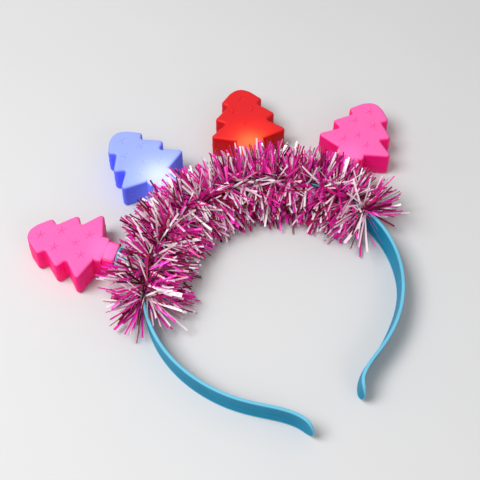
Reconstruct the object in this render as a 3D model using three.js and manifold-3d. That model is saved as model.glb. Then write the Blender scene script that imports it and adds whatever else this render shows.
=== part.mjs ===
// Light-up tree headband, lying on its back: a bent plastic band with a tinsel garland round its crown and
// four soft hollow trees, each on a socket with a lamp. Millimetres, +Z up, +Y from the tips to the crown.
import * as THREE from "three";
import { mergeVertices } from "three/addons/utils/BufferGeometryUtils.js";
import Module from "manifold-3d";

const wasm = await Module();
wasm.setup();

// Band: a strip on edge, with a raised rim along both edges of its outer face
const BAND_WIDTH = 14.2;
const BAND_THICKNESS = 1.7;
const BAND_CHAMFER = 0.5;
const BAND_RIM_WIDTH = 1.3;
const BAND_RIM_HEIGHT = 0.35;
const BAND_FLARE = 0.7;
const BAND_CROWN_LIFT = 0.25;
const BAND_REACH = 145;
const BAND_TIP_ROUND = 6;
const BAND_STEP = 8.7;
const BAND_FLARE_STEP = 3;
// Sections through a tip's rounding, as shares of its length
const BAND_TIP_SHARES = [0.5, 0.8, 0.95, 0.995];

// Twist of the right arm, which tucks its lower edge in: how far, and where it rises and falls again
const BAND_TWIST = 2.2;
const BAND_TWIST_RISE = [125, 160];
const BAND_TWIST_FALL = [180, 198];

// Heading of the band at a distance along each arm: 0 runs across the crown, 90 runs straight to the tips
const ARM_HEADINGS = [
  { arc: 0, left: 0, right: 0 },
  { arc: 25, left: 21, right: 22.5 },
  { arc: 50, left: 40, right: 44.5 },
  { arc: 75, left: 61, right: 67.5 },
  { arc: 100, left: 84.5, right: 91.5 },
  { arc: 125, left: 106, right: 113.5 },
  { arc: 150, left: 125.5, right: 134.5 },
  { arc: 170, left: 139.5, right: 150.5 },
  { arc: 180, left: 138.5, right: 153 },
  { arc: 190, left: 124.5, right: 139 },
  { arc: 200, left: 95, right: 88 },
];
const ARM_LENGTH = ARM_HEADINGS[ARM_HEADINGS.length - 1].arc;
const ARM_STRAIGHT_END = 164;

// Trees: the end of their stem's names, their place along the band, how far out their foot is from its middle
// line, and their lean from its normal in degrees
const TREES = [
  { tree: "pink_tree_left", stem: "pink_left", arc: -60.9, foot: -0.6, lean: 0.7, colour: 0xff4fa6 },
  { tree: "blue_tree", stem: "blue", arc: -20.4, foot: -0.2, lean: 3.5, colour: 0x8f9dff },
  { tree: "red_tree", stem: "red", arc: 20.5, foot: 0.5, lean: -0.5, colour: 0xe8262c },
  { tree: "pink_tree_right", stem: "pink_right", arc: 61.5, foot: 1.2, lean: -5.1, colour: 0xff4fa6 },
];

// One side of a tree's outline, neck to apex: distance out from the band, half-width, corner radius
const TREE_SIDE = [
  { out: 28.2, half: 8.2, round: 2 },
  { out: 32.7, half: 22.2, round: 2 },
  { out: 41.8, half: 11.7, round: 1 },
  { out: 45.3, half: 17.6, round: 2 },
  { out: 54.4, half: 8.7, round: 1 },
  { out: 57.6, half: 12, round: 2 },
  { out: 64.3, half: 6.1, round: 9 },
  { out: 68.2, half: 0, round: 7 },
];
const TREE_THICKNESS = 15.6;
const TREE_EDGE_ROUND = 1.2;
const TREE_WALL = 2.2;
const TREE_HOLLOW_ROUND = 1;
const NECK_HALF = 7.4;
const NECK_START = 18.4;
const NECK_END = 24.4;
const TRUNK_HALF = 7.7;
const TRUNK_START = 24.8;
const TRUNK_TOP = 31;
// A section's exponent: 2 is round, and a larger one is squarer
const NECK_SQUARE = 3.6;
const TRUNK_SQUARE = 9;
const SPIGOT_RADIUS = 5.4;
const SPIGOT_START = 12.6;
const NECK_BORE = 3.6;

// Star marks pressed into a tree's front: distance out from the band and distance across
const STARS = [
  { out: 59.8, across: 0 },
  { out: 50.2, across: -5.5 },
  { out: 50.2, across: 5.5 },
  { out: 40.5, across: 0 },
  { out: 35.2, across: -6.5 },
  { out: 35.2, across: 6.5 },
];
const STAR_RAYS = 5;
const STAR_TIP = 2.7;
const STAR_WAIST = 0.8;
const STAR_DEPTH = 0.6;

// Socket: a cup that takes the tree's spigot, round a post that carries the lamp
const SOCKET_RADIUS = 6.9;
const SOCKET_RIM_RADIUS = 7.5;
const SOCKET_RIM_START = 16.9;
const SOCKET_RIM_SLOPE = 0.6;
const SOCKET_TOP = 18.1;
const SOCKET_BORE = 5.8;
const SOCKET_FLOOR = 12;
const POST_RADIUS = 3;
const POST_TOP = 19;

// Lamp: a domed body on a flange
const LED_START = 19.3;
const LED_FLANGE_RADIUS = 2.9;
const LED_FLANGE_HEIGHT = 1;
const LED_RADIUS = 2.5;
const LED_LENGTH = 8.7;
const LED_DOME_ANGLES = [60, 30];

// Garland: fins of foil strips, long and short in turn, on a sleeve round the band
const GARLAND_END = 84;
const SLEEVE_WALL = 0.8;

// Each fin's climb in degrees from outward over the top to inward, and its root's share of the section
const GARLAND_FINS = [
  { climb: -17, side: 1, rise: -0.5 },
  { climb: 16, side: 1, rise: 0.05 },
  { climb: 52, side: 1, rise: 0.6 },
  { climb: 90, side: 0, rise: 1 },
  { climb: 128, side: -1, rise: 0.6 },
  { climb: 164, side: -1, rise: 0.05 },
  { climb: 197, side: -1, rise: -0.5 },
];
const STRIP_REACH = 24;
const STRIP_NOTCH = 14;
const STRIP_STEP = 2.5;
const STRIP_FOOT = 0.8;
const STRIP_RAGGED = 2;
const STRIP_STRAY = 5;
const STRIP_SWAY = 0.7;
const STRIP_SPLAY = 5;
const STRIP_SPLAY_START = 66;
const STRIP_SEED = 2;

const GAP = 0.35;
const ROUND_SIDES = 16;
const LAMP_SIDES = 8;
const CORNER_SEGMENTS = 2;
const WELD = 1e-4;

// Solids

function toSolid(geometry) {
  const bare = geometry.clone();
  bare.deleteAttribute("normal");
  bare.deleteAttribute("uv");
  const welded = mergeVertices(bare, WELD);
  const vertProperties = new Float32Array(welded.attributes.position.array);
  const triVerts = new Uint32Array(welded.index.array);
  return new wasm.Manifold(new wasm.Mesh({ numProp: 3, vertProperties, triVerts }));
}

function toGeometry(solid) {
  const mesh = solid.getMesh();
  const geometry = new THREE.BufferGeometry();
  geometry.setAttribute("position", new THREE.BufferAttribute(new Float32Array(mesh.vertProperties), 3));
  geometry.setIndex(new THREE.BufferAttribute(new Uint32Array(mesh.triVerts), 1));
  return geometry;
}

function plastic(colour, roughness) {
  return new THREE.MeshStandardMaterial({ color: colour, roughness, metalness: 0 });
}

function namedMesh(name, geometry, material) {
  const mesh = new THREE.Mesh(geometry, material);
  mesh.name = name;
  return mesh;
}

// A closed solid turned about the Y axis from rows of radius and height
function turned(profile, sides) {
  const points = profile.map(([radius, height]) => new THREE.Vector2(radius, height));
  return toSolid(new THREE.LatheGeometry(points, sides));
}

// A closed solid through rings of points, with its two ends filled like the flat section; each face between
// two rings is split along its shorter diagonal, so that both sides of a thin strip are split alike
function loft(rings, section) {
  const count = section.length;
  const points = rings.flat();
  const index = [];
  for (let ring = 0; ring < rings.length - 1; ring += 1) {
    for (let side = 0; side < count; side += 1) {
      const a = ring * count + side;
      const b = ring * count + ((side + 1) % count);
      const c = b + count;
      const d = a + count;
      if (points[a].distanceTo(points[c]) <= points[b].distanceTo(points[d])) {
        index.push(a, b, c, a, c, d);
      } else {
        index.push(a, b, d, b, c, d);
      }
    }
  }
  const last = (rings.length - 1) * count;
  for (const [a, b, c] of THREE.ShapeUtils.triangulateShape(section, [])) {
    index.push(a, c, b);
    index.push(last + a, last + b, last + c);
  }
  const geometry = new THREE.BufferGeometry().setFromPoints(points);
  geometry.setIndex(index);
  return toSolid(geometry);
}

// Band

// Points and headings every millimetre along one arm, from the crown to the tip
function walkArm(side) {
  const arcs = ARM_HEADINGS.map((row) => row.arc);
  const headings = ARM_HEADINGS.map((row) => THREE.MathUtils.degToRad(row[side]));
  const bend = new THREE.CubicInterpolant(arcs, headings, 1);
  const sign = side === "left" ? -1 : 1;
  const walk = [{ x: 0, y: 0, heading: 0 }];
  for (let arc = 1; arc <= ARM_LENGTH; arc += 1) {
    const before = walk[arc - 1];
    const middle = bend.evaluate(arc - 0.5)[0];
    const x = before.x + sign * Math.cos(middle);
    const y = before.y - Math.sin(middle);
    walk.push({ x, y, heading: sign * bend.evaluate(arc)[0] });
  }
  return walk;
}

const ARMS = { left: walkArm("left"), right: walkArm("right") };

// The band's middle line at a signed distance from the crown, left negative
function bandPlace(arc) {
  const walk = arc < 0 ? ARMS.left : ARMS.right;
  const reach = Math.min(Math.abs(arc), ARM_LENGTH);
  const low = Math.min(Math.floor(reach), ARM_LENGTH - 1);
  const share = reach - low;
  const mix = (key) => THREE.MathUtils.lerp(walk[low][key], walk[low + 1][key], share);
  const heading = mix("heading");
  const outward = new THREE.Vector3(Math.sin(heading), Math.cos(heading), 0);
  const along = new THREE.Vector3(Math.cos(heading), -Math.sin(heading), 0);
  const lift = BAND_CROWN_LIFT * (1 + mix("y") / BAND_REACH);
  const middle = new THREE.Vector3(mix("x"), mix("y"), lift + BAND_WIDTH / 2);
  return { middle, outward, along, heading };
}

// The band's section: x outward, y up from the middle, chamfered, with two rims on the outer face
function bandSection() {
  const inner = -BAND_THICKNESS / 2;
  const outer = BAND_THICKNESS / 2;
  const edge = BAND_WIDTH / 2;
  const rim = edge - BAND_RIM_WIDTH;
  const half = [
    [outer - BAND_RIM_HEIGHT, rim - BAND_RIM_HEIGHT],
    [outer, rim],
    [outer, edge - BAND_CHAMFER],
    [outer - BAND_CHAMFER, edge],
    [inner + BAND_CHAMFER, edge],
    [inner, edge - BAND_CHAMFER],
  ];
  const upper = half.map(([x, y]) => new THREE.Vector2(x, y));
  const lower = half.map(([x, y]) => new THREE.Vector2(x, -y)).reverse();
  return [...upper, ...lower];
}

// A plain rectangle with cut corners round the band's section, larger by a margin
function sleeveSection(margin) {
  const across = BAND_THICKNESS / 2 + margin;
  const edge = BAND_WIDTH / 2 + margin;
  const cut = BAND_CHAMFER;
  const corners = [
    [across, edge - cut],
    [across - cut, edge],
    [cut - across, edge],
    [-across, edge - cut],
    [-across, cut - edge],
    [cut - across, -edge],
    [across - cut, -edge],
    [across, cut - edge],
  ];
  return corners.map(([x, y]) => new THREE.Vector2(x, y));
}

function bandTwist(arc) {
  const rise = THREE.MathUtils.smoothstep(arc, ...BAND_TWIST_RISE);
  return BAND_TWIST * rise * (1 - THREE.MathUtils.smoothstep(arc, ...BAND_TWIST_FALL));
}

// A section set across the band, leaning with the strip; squeeze shrinks its height towards a rounded tip
function sectionRing(section, arc, squeeze = 1) {
  const { middle, outward } = bandPlace(arc);
  return section.map(({ x, y }) => {
    const height = y * squeeze;
    const share = height / BAND_WIDTH;
    const lean = BAND_FLARE * share + bandTwist(arc) * (share - 0.5);
    return middle.clone().addScaledVector(outward, x + lean).setZ(middle.z + height);
  });
}

function steps(from, to, longest) {
  const count = Math.ceil((to - from) / longest);
  return Array.from({ length: count + 1 }, (_, i) => from + ((to - from) * i) / count);
}

function tipSqueeze(arc) {
  const past = Math.max(0, Math.abs(arc) - (ARM_LENGTH - BAND_TIP_ROUND)) / BAND_TIP_ROUND;
  return Math.sqrt(1 - past * past);
}

function buildBand() {
  const tipStart = ARM_LENGTH - BAND_TIP_ROUND;
  const arm = [
    ...steps(0, ARM_STRAIGHT_END, BAND_STEP).slice(1),
    ...steps(ARM_STRAIGHT_END, tipStart, BAND_FLARE_STEP).slice(1),
    ...BAND_TIP_SHARES.map((share) => tipStart + share * BAND_TIP_ROUND),
  ];
  const arcs = [...arm.map((arc) => -arc).reverse(), 0, ...arm];
  const section = bandSection();
  return loft(arcs.map((arc) => sectionRing(section, arc, tipSqueeze(arc))), section);
}

// A plain sleeve round the band out to a margin, between the same distance along both arms
function sleeve(margin, end) {
  const section = sleeveSection(margin);
  return loft(steps(-end, end, BAND_STEP).map((arc) => sectionRing(section, arc)), section);
}

// Trees, sockets and lamps, each standing along +Y from the band's middle line

// A closed outline of both sides; a rounded corner's curve starts where an arc of its radius would
function treeOutline(rounded) {
  const left = TREE_SIDE.filter((row) => row.half > 0).map((row) => ({ ...row, half: -row.half }));
  const corners = [...TREE_SIDE, ...left.reverse()];
  const points = corners.map((row) => new THREE.Vector2(row.half, row.out));
  const shape = new THREE.Shape();
  if (!rounded) {
    return shape.setFromPoints(points);
  }
  corners.forEach((row, i) => {
    const corner = points[i];
    const before = points[(i + points.length - 1) % points.length];
    const after = points[(i + 1) % points.length];
    const back = before.clone().sub(corner);
    const ahead = after.clone().sub(corner);
    const setback = row.round / Math.tan(back.angleTo(ahead) / 2);
    const start = back.setLength(setback).add(corner);
    const end = ahead.setLength(setback).add(corner);
    if (i === 0) {
      shape.moveTo(start.x, start.y);
    } else {
      shape.lineTo(start.x, start.y);
    }
    shape.quadraticCurveTo(corner.x, corner.y, end.x, end.y);
  });
  shape.closePath();
  return shape;
}

// An outline given thickness about its middle plane, drawn in by an inset, with eased edges
function slab(shape, thickness, inset, edge) {
  const depth = thickness - 2 * edge;
  const geometry = new THREE.ExtrudeGeometry(shape, {
    depth,
    curveSegments: CORNER_SEGMENTS,
    bevelEnabled: true,
    bevelThickness: edge,
    bevelSize: edge,
    bevelOffset: -edge - inset,
    bevelSegments: 1,
  });
  geometry.translate(0, 0, -depth / 2);
  return toSolid(geometry);
}

function starOutline({ out, across }) {
  const points = Array.from({ length: 2 * STAR_RAYS }, (_, i) => {
    const angle = Math.PI / 2 + (Math.PI * i) / STAR_RAYS;
    const radius = i % 2 === 0 ? STAR_TIP : STAR_WAIST;
    return new THREE.Vector2(across + radius * Math.cos(angle), out + radius * Math.sin(angle));
  });
  return new THREE.Shape(points);
}

// A section of a tree's stem between round and square, as points of z and x about its axis
function trunkSection(half, exponent) {
  return Array.from({ length: ROUND_SIDES }, (_, i) => {
    const angle = (2 * Math.PI * i) / ROUND_SIDES;
    const x = Math.sin(angle);
    const z = Math.cos(angle);
    const size = (Math.abs(x) ** exponent + Math.abs(z) ** exponent) ** (1 / exponent);
    return new THREE.Vector2((half * z) / size, (half * x) / size);
  });
}

// A neck with rounded sides under a square trunk, whose front is nearly level with the tree's face
function buildTrunk() {
  const neck = trunkSection(NECK_HALF, NECK_SQUARE);
  const trunk = trunkSection(TRUNK_HALF, TRUNK_SQUARE);
  const ring = (section, out) => section.map(({ x, y }) => new THREE.Vector3(y, out, x));
  const below = [ring(neck, NECK_START), ring(neck, NECK_END)];
  const above = [ring(trunk, TRUNK_START), ring(trunk, TRUNK_TOP)];
  return loft([...below, ...above], neck);
}

function buildTree() {
  const spigot = turned(
    [
      [0, SPIGOT_START],
      [SPIGOT_RADIUS, SPIGOT_START],
      [SPIGOT_RADIUS, TRUNK_TOP],
      [0, TRUNK_TOP],
    ],
    ROUND_SIDES,
  );
  const bore = turned(
    [
      [0, SPIGOT_START - GAP],
      [NECK_BORE, SPIGOT_START - GAP],
      [NECK_BORE, TRUNK_TOP + TREE_WALL],
      [0, TRUNK_TOP + TREE_WALL],
    ],
    LAMP_SIDES,
  );
  const hollow = slab(treeOutline(false), TREE_THICKNESS - 2 * TREE_WALL, TREE_WALL, TREE_HOLLOW_ROUND);
  let tree = slab(treeOutline(true), TREE_THICKNESS, 0, TREE_EDGE_ROUND).add(buildTrunk()).add(spigot);
  tree = tree.subtract(hollow).subtract(bore);
  for (const star of STARS) {
    const cut = { depth: 2 * STAR_DEPTH, bevelEnabled: false };
    const mark = new THREE.ExtrudeGeometry(starOutline(star), cut);
    mark.translate(0, 0, TREE_THICKNESS / 2 - STAR_DEPTH);
    tree = tree.subtract(toSolid(mark));
  }
  return toGeometry(tree);
}

// A cup that starts at the band's middle line, cut clear of the band
function buildSocket(room, foot) {
  const cup = turned(
    [
      [0, -foot],
      [SOCKET_RADIUS, -foot],
      [SOCKET_RADIUS, SOCKET_RIM_START - SOCKET_RIM_SLOPE],
      [SOCKET_RIM_RADIUS, SOCKET_RIM_START],
      [SOCKET_RIM_RADIUS, SOCKET_TOP],
      [SOCKET_BORE, SOCKET_TOP],
      [SOCKET_BORE, SOCKET_FLOOR],
      [POST_RADIUS, SOCKET_FLOOR],
      [POST_RADIUS, POST_TOP],
      [0, POST_TOP],
    ],
    ROUND_SIDES,
  );
  return toGeometry(cup.subtract(room));
}

function buildLed() {
  const domeCentre = LED_START + LED_LENGTH - LED_RADIUS;
  const dome = LED_DOME_ANGLES.map((angle) => {
    const turn = THREE.MathUtils.degToRad(angle);
    return [LED_RADIUS * Math.sin(turn), domeCentre + LED_RADIUS * Math.cos(turn)];
  });
  const profile = [
    [0, LED_START],
    [LED_FLANGE_RADIUS, LED_START],
    [LED_FLANGE_RADIUS, LED_START + LED_FLANGE_HEIGHT],
    [LED_RADIUS, LED_START + LED_FLANGE_HEIGHT],
    [LED_RADIUS, domeCentre],
    ...dome,
    [0, LED_START + LED_LENGTH],
  ];
  return toGeometry(turned(profile, LAMP_SIDES));
}

// A tree's stand: its foot at the band, +Y along its axis, its back on the floor
function treeStand({ arc, foot, lean }) {
  const { middle, outward, heading } = bandPlace(arc);
  const stand = new THREE.Group();
  stand.position.copy(middle).addScaledVector(outward, foot).setZ(TREE_THICKNESS / 2);
  stand.rotation.z = -heading - THREE.MathUtils.degToRad(lean);
  stand.updateMatrix();
  return stand;
}

// Garland

// The room that a tree and its socket take up, with a gap
function buildTreeRoom(foot) {
  const cup = turned(
    [
      [0, -foot - GAP],
      [SOCKET_RIM_RADIUS + GAP, -foot - GAP],
      [SOCKET_RIM_RADIUS + GAP, NECK_START],
      [0, NECK_START],
    ],
    ROUND_SIDES,
  );
  const side = 2 * (TRUNK_HALF + GAP);
  const trunk = wasm.Manifold.cube([side, TRUNK_TOP - NECK_START, side], true);
  const stem = cup.add(trunk.translate([0, (NECK_START + TRUNK_TOP) / 2, 0]));
  return stem.add(slab(treeOutline(false), TREE_THICKNESS + 2 * GAP, -GAP, GAP));
}

// The sleeve's section with a strip standing at each fin's root, all held above a floor
function finnedSection(strips, floor) {
  const across = BAND_THICKNESS / 2 + GAP + SLEEVE_WALL;
  const edge = BAND_WIDTH / 2 + GAP + SLEEVE_WALL;
  const points = GARLAND_FINS.flatMap(({ climb, side, rise }, fin) => {
    const { reach, stray } = strips[fin];
    const turn = THREE.MathUtils.degToRad(climb + stray);
    const tip = new THREE.Vector2(reach * Math.cos(turn), Math.max(reach * Math.sin(turn), floor));
    const root = new THREE.Vector2(side * across, rise * edge);
    if (side !== 0) {
      const foot = new THREE.Vector2(0, side * STRIP_FOOT);
      return [root.clone().sub(foot), tip, root.add(foot)];
    }
    const ridge = [across, STRIP_FOOT, -STRIP_FOOT, -across].map((x) => new THREE.Vector2(x, edge));
    return [...ridge.slice(0, 2), tip, ...ridge.slice(2)];
  });
  const low = Math.max(-edge, floor);
  return [new THREE.Vector2(across, low), ...points, new THREE.Vector2(-across, low)];
}

// Strips stand round the band from floor to floor, cut clear of the trees; loose cut ends are left out
function buildGarland(bandRoom, treeRooms) {
  THREE.MathUtils.seededRandom(STRIP_SEED);
  const spread = (range) => range * (2 * THREE.MathUtils.seededRandom() - 1);
  const rings = steps(-GARLAND_END, GARLAND_END, STRIP_STEP).map((arc, ring) => {
    const { middle, outward, along } = bandPlace(arc);
    const splay = STRIP_SPLAY * THREE.MathUtils.smoothstep(Math.abs(arc), STRIP_SPLAY_START, GARLAND_END);
    const strips = GARLAND_FINS.map((_, fin) => {
      const reach = ((ring + fin) % 2 === 0 ? STRIP_REACH : STRIP_NOTCH) + spread(STRIP_RAGGED);
      return { reach, stray: spread(STRIP_STRAY) };
    });
    return finnedSection(strips, -middle.z).map(({ x, y }) => {
      const tipward = THREE.MathUtils.smoothstep(Math.hypot(x, y), BAND_WIDTH, STRIP_REACH);
      const sway = tipward * (Math.sign(arc) * splay + spread(STRIP_SWAY));
      const lean = (BAND_FLARE * y) / BAND_WIDTH;
      const point = middle.clone().addScaledVector(outward, x + lean).addScaledVector(along, sway);
      return point.setZ(middle.z + y);
    });
  });
  const plain = GARLAND_FINS.map(() => ({ reach: STRIP_REACH, stray: 0 }));
  let garland = loft(rings, finnedSection(plain, -STRIP_REACH));
  for (const room of [...treeRooms, bandRoom]) {
    garland = garland.subtract(room);
  }
  const bodies = garland.decompose().sort((a, b) => b.volume() - a.volume());
  return toGeometry(bodies[0]);
}

// Assembly

const bandPlastic = plastic(0x3aa6cc, 0.35);
const lampPlastic = plastic(0xf4f1e6, 0.2);
const foil = new THREE.MeshStandardMaterial({ color: 0xd0237f, roughness: 0.3, metalness: 0.5 });
const bandRoom = sleeve(GAP, GARLAND_END + BAND_STEP);
const headpiece = new THREE.Group();
headpiece.add(namedMesh("headband", toGeometry(buildBand()), bandPlastic));
const treeGeometry = buildTree();
const ledGeometry = buildLed();
const stands = TREES.map((row) => {
  const stand = treeStand(row);
  const localRoom = bandRoom.transform(stand.matrix.clone().invert().elements);
  stand.add(namedMesh(row.tree, treeGeometry, plastic(row.colour, 0.4)));
  stand.add(namedMesh(`socket_${row.stem}`, buildSocket(localRoom, row.foot), bandPlastic));
  stand.add(namedMesh(`led_${row.stem}`, ledGeometry, lampPlastic));
  headpiece.add(stand);
  return stand;
});
const treeRooms = stands.map((stand, i) => buildTreeRoom(TREES[i].foot).transform(stand.matrix.elements));
headpiece.add(namedMesh("tinsel_garland", buildGarland(bandRoom, treeRooms), foil));

// The origin is under the middle of the whole headband, on the floor
const bounds = new THREE.Box3().setFromObject(headpiece, true);
const centre = bounds.getCenter(new THREE.Vector3());
headpiece.position.set(-centre.x, -centre.y, -bounds.min.z);

const model = new THREE.Group();
model.add(headpiece);
export default model;
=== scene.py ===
"""A light-up tree headband dressed for a studio picture: the band, its sockets, lamps, trees and tinsel.

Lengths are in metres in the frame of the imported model: +Z up from the floor, +Y from the band's tips to its
crown, and the origin on the floor under the middle of the whole headband.
"""

import logging
from dataclasses import dataclass, field
from enum import Enum
from math import cos, pi, radians, sin, tau
from typing import Any, NamedTuple, Sequence

import bmesh
import bpy
import numpy as np
from mathutils import Matrix, Vector

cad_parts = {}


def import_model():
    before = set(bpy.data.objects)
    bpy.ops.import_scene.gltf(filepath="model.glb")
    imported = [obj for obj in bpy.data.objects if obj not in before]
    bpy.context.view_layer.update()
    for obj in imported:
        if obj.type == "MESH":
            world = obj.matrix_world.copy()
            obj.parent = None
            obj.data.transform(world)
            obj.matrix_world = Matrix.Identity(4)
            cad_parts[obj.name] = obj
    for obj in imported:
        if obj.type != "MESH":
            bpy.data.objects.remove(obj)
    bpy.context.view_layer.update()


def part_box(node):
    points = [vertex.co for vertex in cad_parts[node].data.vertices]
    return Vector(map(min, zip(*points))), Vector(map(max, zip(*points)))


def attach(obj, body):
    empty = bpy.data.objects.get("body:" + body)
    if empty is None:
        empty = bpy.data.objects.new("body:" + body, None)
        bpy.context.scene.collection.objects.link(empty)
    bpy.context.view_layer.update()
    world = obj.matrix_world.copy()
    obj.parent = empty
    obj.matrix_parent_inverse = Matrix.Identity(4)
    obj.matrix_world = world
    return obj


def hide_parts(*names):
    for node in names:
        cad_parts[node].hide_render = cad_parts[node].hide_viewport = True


LOG = logging.getLogger("headband")
MM = 0.001
BODY = "root"
WELD = 1e-7  # points closer than this are merged
SHARP = radians(38)  # an edge that bends further than this looks sharp
CLOUD_DETAIL = 3.0  # octaves of a cloudy pattern

Colour = tuple[float, float, float]
Pair = tuple[float, float]


def srgb(red: int, green: int, blue: int) -> Colour:
    """A colour as seen on a screen, as the linear colour that a shader takes, by the screens' own curve.

    Args:
        red: Its red, 0 to 255.
        green: Its green.
        blue: Its blue.

    Returns:
        The linear colour.
    """
    shares = np.array([red, green, blue]) / 255
    linear = np.where(shares <= 0.04045, shares / 12.92, ((shares + 0.055) / 1.055) ** 2.4)
    return tuple(float(share) for share in linear)


def smoothstep(low: float, high: float, value: np.ndarray) -> np.ndarray:
    """0 below low, 1 above high, and a smooth rise 3t^2 - 2t^3 between them."""
    share = np.clip((value - low) / (high - low), 0, 1)
    return share * share * (3 - 2 * share)


def unit(vectors: np.ndarray) -> np.ndarray:
    """Vectors along the last axis, each at length 1."""
    return vectors / np.linalg.norm(vectors, axis=-1, keepdims=True)


# Surfaces


class Corner(NamedTuple):
    """A corner of an outline and the radius that rounds it."""

    x: float
    y: float
    round: float


@dataclass
class Surface:
    """Points and four-sided faces of a part of a piece, with a number at each point for each mark.

    Args:
        points: Positions, one row for each point.
        faces: Four point numbers for each face.
        marks: Values that a finish reads, one for each point, by name.
    """

    points: np.ndarray
    faces: np.ndarray
    marks: dict[str, np.ndarray] = field(default_factory=dict)

    @classmethod
    def grid(cls, points: np.ndarray, around: bool = False, **marks: Any) -> "Surface":
        """Faces between the neighbours of a grid of points.

        Args:
            points: Positions by row, column and axis.
            around: Whether the last column also joins the first.
            marks: Values by row and column, by name.

        Returns:
            The grid's surface.
        """
        rows, columns = points.shape[:2]
        row, column = np.meshgrid(np.arange(rows - 1), np.arange(columns - (not around)), indexing="ij")
        here = row * columns + column
        beside = row * columns + (column + 1) % columns
        faces = np.stack([here, beside, beside + columns, here + columns], axis=-1)
        flat = {name: np.broadcast_to(mark, (rows, columns)).ravel() for name, mark in marks.items()}
        return cls(points.reshape(-1, 3), faces.reshape(-1, 4), flat)

    @classmethod
    def turned(cls, profile: np.ndarray, sides: int, power: Any = 2.0, **marks: Any) -> "Surface":
        """Sections round the Y axis, each between round and square.

        At an angle a, a section of half-width r reaches r / (|cos a|^n + |sin a|^n)^(1/n), which is a circle
        where the power n is 2 and comes closer to a square as n grows.

        Args:
            profile: Rows of half-width and height that start and end on the axis.
            sides: Number of steps in the turn.
            power: The power of each section, or of all.
            marks: Values of each section, by name.

        Returns:
            The surface.
        """
        angle = np.arange(sides) * tau / sides
        power = np.broadcast_to(power, len(profile))[:, None]
        size = (np.abs(np.cos(angle)) ** power + np.abs(np.sin(angle)) ** power) ** (1 / power)
        reach = profile[:, :1] / size
        height = profile[:, 1:] + 0 * angle
        ring = np.stack([reach * np.cos(angle), height, reach * np.sin(angle)], axis=-1)
        return cls.grid(ring, around=True, **{name: mark[:, None] for name, mark in marks.items()})

    @classmethod
    def joined(cls, parts: Sequence["Surface"]) -> "Surface":
        """Several surfaces with the same marks as one.

        Args:
            parts: The surfaces.

        Returns:
            The joined surface.
        """
        starts = np.cumsum([0] + [len(part.points) for part in parts[:-1]])
        faces = [part.faces + start for part, start in zip(parts, starts)]
        marks = {name: np.concatenate([part.marks[name] for part in parts]) for name in parts[0].marks}
        return cls(np.concatenate([part.points for part in parts]), np.concatenate(faces), marks)


def rounded(corners: Sequence[Corner], steps: int) -> np.ndarray:
    """A closed outline with an arc at every corner.

    At a corner whose half angle is h, an arc of radius r starts r / tan h from the corner, and its centre
    lies r / sin h along the bisector. The heading turns evenly along an arc.

    Args:
        corners: Corners in order round the outline.
        steps: Number of points on each arc.

    Returns:
        Points by corner and step, each with its x, its y and the outline's heading there.
    """
    place = np.array([[corner.x, corner.y] for corner in corners])
    radius = np.array([[corner.round] for corner in corners])
    back = unit(np.roll(place, 1, axis=0) - place)
    ahead = unit(np.roll(place, -1, axis=0) - place)
    half = np.arccos(np.clip((back * ahead).sum(axis=1, keepdims=True), -1, 1)) / 2
    centre = place + unit(back + ahead) * radius / np.sin(half)
    first = place + back * radius / np.tan(half) - centre
    last = place + ahead * radius / np.tan(half) - centre
    start = np.arctan2(first[:, 1:], first[:, :1])
    sweep = (np.arctan2(last[:, 1:], last[:, :1]) - start + pi) % tau - pi
    angle = start + sweep * np.linspace(0, 1, steps)
    x = centre[:, :1] + radius * np.cos(angle)
    y = centre[:, 1:] + radius * np.sin(angle)
    heading = np.arctan2(ahead[:, 1:], ahead[:, :1]) + sweep * np.linspace(-1, 0, steps)
    return np.stack([x, y, heading], axis=-1)


def smooth_between(knots: np.ndarray, values: np.ndarray, at: np.ndarray) -> np.ndarray:
    """A cubic through knots whose slope at each knot is the mean of the straight slopes beside it.

    Args:
        knots: Rising places of the knots.
        values: Value at each knot.
        at: Places asked for.

    Returns:
        The curve's value at each place.
    """
    straight = np.diff(values) / np.diff(knots)
    slopes = np.concatenate([straight[:1], (straight[1:] + straight[:-1]) / 2, straight[-1:]])
    low = np.clip(np.searchsorted(knots, at, side="right") - 1, 0, len(knots) - 2)
    span = knots[low + 1] - knots[low]
    share = (at - knots[low]) / span
    rise = (3 - 2 * share) * share**2
    start = share * (1 - share) ** 2 * span * slopes[low]
    end = share**2 * (share - 1) * span * slopes[low + 1]
    return values[low] * (1 - rise) + values[low + 1] * rise + start + end


def make_piece(name: str, surface: Surface, finish: bpy.types.Material, node: str) -> None:
    """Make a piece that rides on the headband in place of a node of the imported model.

    Args:
        name: The piece's name.
        surface: Its points, faces and marks.
        finish: Its material.
        node: Name of the node that it stands for.
    """
    mesh = bpy.data.meshes.new(name)
    mesh.from_pydata(surface.points, [], surface.faces)
    for mark, values in surface.marks.items():
        layer = mesh.attributes.new(mark, "FLOAT", "POINT")
        layer.data.foreach_set("value", values.astype(np.float32))
    work = bmesh.new()
    work.from_mesh(mesh)
    bmesh.ops.remove_doubles(work, verts=work.verts, dist=WELD)
    bmesh.ops.recalc_face_normals(work, faces=work.faces)
    work.to_mesh(mesh)
    work.free()
    mesh.polygons.foreach_set("use_smooth", np.ones(len(mesh.polygons), dtype=bool))
    mesh.set_sharp_from_angle(angle=SHARP)
    mesh.materials.append(finish)
    piece = bpy.data.objects.new(name, mesh)
    bpy.context.scene.collection.objects.link(piece)
    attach(piece, BODY)
    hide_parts(node)
    LOG.info("%s: %d faces", name, len(mesh.polygons))


# Finishes


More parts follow.
